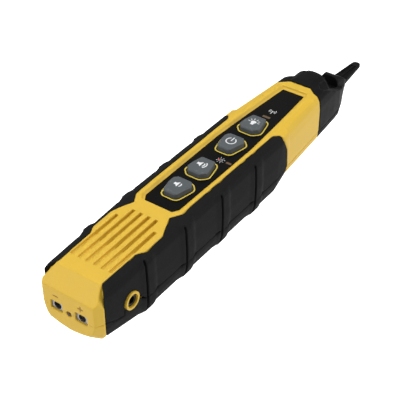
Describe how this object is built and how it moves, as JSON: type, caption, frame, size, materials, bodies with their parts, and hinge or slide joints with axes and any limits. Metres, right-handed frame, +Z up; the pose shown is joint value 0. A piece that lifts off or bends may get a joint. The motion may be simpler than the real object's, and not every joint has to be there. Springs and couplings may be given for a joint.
{
  "type": "tone tracing probe",
  "caption": "Hand-held cable tone probe: long two-part case with soft side grips, recessed key panel, slotted speaker grille, end terminals, side audio socket and a flat blade tip.",
  "frame": {"origin": "centre of the width and length, on the plane the probe rests on", "axes": "+X towards the audio socket side, +Y towards the blade tip, +Z up out of the key face"},
  "size_m": [0.0388, 0.25, 0.0376],
  "materials": {
    "yellow_abs": "satin moulded",
    "black_tpe": "fine matt grain",
    "black_abs": "fine matt grain",
    "label": "gloss print",
    "key_silicone": "soft matt",
    "mat_silicone": "soft matt",
    "nickel": "plated",
    "zinc_screw": "plated",
    "board": "solder mask",
    "chip": "moulded",
    "capacitor": "sleeve",
    "led_red": "clear tint",
    "window_brown": "smoked",
    "jack_body": "moulded",
    "clear": "clear",
    "speaker_frame": "painted",
    "speaker_cone": "paper",
    "magnet": "sintered",
    "cloth": "felt",
    "brass": "plated",
    "wire_green": "insulation",
    "wire_red": "insulation",
    "wire_black": "insulation",
    "wire_grey": "insulation",
    "battery": "printed can",
    "foam": "foam"
  },
  "bodies": {
    "case": {"front_shell": "yellow_abs", "rear_shell": "yellow_abs", "nose_upper": "black_abs", "nose_lower": "black_abs", "grip_left": "black_tpe", "grip_right": "black_tpe", "grip_rear": "black_tpe", "overlay": "label", "keypad_mat": "mat_silicone", "snap_domes": "nickel", "circuit_board": "board", "signal_chip": "chip", "capacitors": "capacitor", "board_screws": "zinc_screw", "strength_leds": "led_red", "strength_window": "window_brown", "power_led": "led_red", "power_window": "window_brown", "headphone_jack": "jack_body", "jack_bezel": "yellow_abs", "terminal_minus": "nickel", "terminal_plus": "nickel", "terminal_led": "led_red", "speaker_frame": "speaker_frame", "speaker_cone": "speaker_cone", "speaker_magnet": "magnet", "speaker_cloth": "cloth", "tip_spring": "brass", "tip_wire": "wire_green", "battery": "battery", "battery_snap": "jack_body", "wire_red": "wire_red", "wire_black": "wire_black", "shell_screws": "zinc_screw", "work_light_led": "clear", "work_light_lens": "clear", "side_boss": "yellow_abs", "terminal_wires": "wire_grey", "jack_wires": "wire_grey", "speaker_wires": "wire_red"},
    "key_light": {"key_light": "key_silicone"},
    "key_power": {"key_power": "key_silicone"},
    "key_volume_up": {"key_volume_up": "key_silicone"},
    "key_volume_down": {"key_volume_down": "key_silicone"},
    "probe_tip": {"probe_tip": "black_abs"},
    "battery_door": {"battery_door": "black_abs", "battery_foam": "foam"},
    "captive_ring": {"captive_ring": "wire_black"},
    "door_screw": {"door_screw": "zinc_screw"}
  },
  "joints": [
    {"name": "key_light_press", "type": "slide", "parent": "case", "child": "key_light", "axis": [0, 0, -1], "range_m": [0, 0.0009], "stiffness_N_per_m": 900},
    {"name": "key_power_press", "type": "slide", "parent": "case", "child": "key_power", "axis": [0, 0, -1], "range_m": [0, 0.0009], "stiffness_N_per_m": 900},
    {"name": "key_volume_up_press", "type": "slide", "parent": "case", "child": "key_volume_up", "axis": [0, 0, -1], "range_m": [0, 0.0009], "stiffness_N_per_m": 900},
    {"name": "key_volume_down_press", "type": "slide", "parent": "case", "child": "key_volume_down", "axis": [0, 0, -1], "range_m": [0, 0.0009], "stiffness_N_per_m": 900},
    {"name": "tip_pull", "type": "slide", "parent": "case", "child": "probe_tip", "axis": [0, 1, 0], "range_m": [0, 0.024]},
    {"name": "battery_door_lift", "type": "slide", "parent": "case", "child": "battery_door", "axis": [0, 0, -1], "range_m": [0, 0.03]},
    {"name": "door_screw_back_out", "type": "slide", "parent": "battery_door", "child": "captive_ring", "axis": [0, 0, -1], "range_m": [0, 0.0042]},
    {"name": "door_screw_turn", "type": "hinge", "parent": "captive_ring", "child": "door_screw", "pos_m": [0, 0.003, 0.005], "axis": [0, 0, -1], "range_deg": [0, 2160.1]}
  ],
  "couplings": [
    {"joint": "door_screw_turn", "follows": "door_screw_back_out", "rad_per_m": 8976}
  ]
}
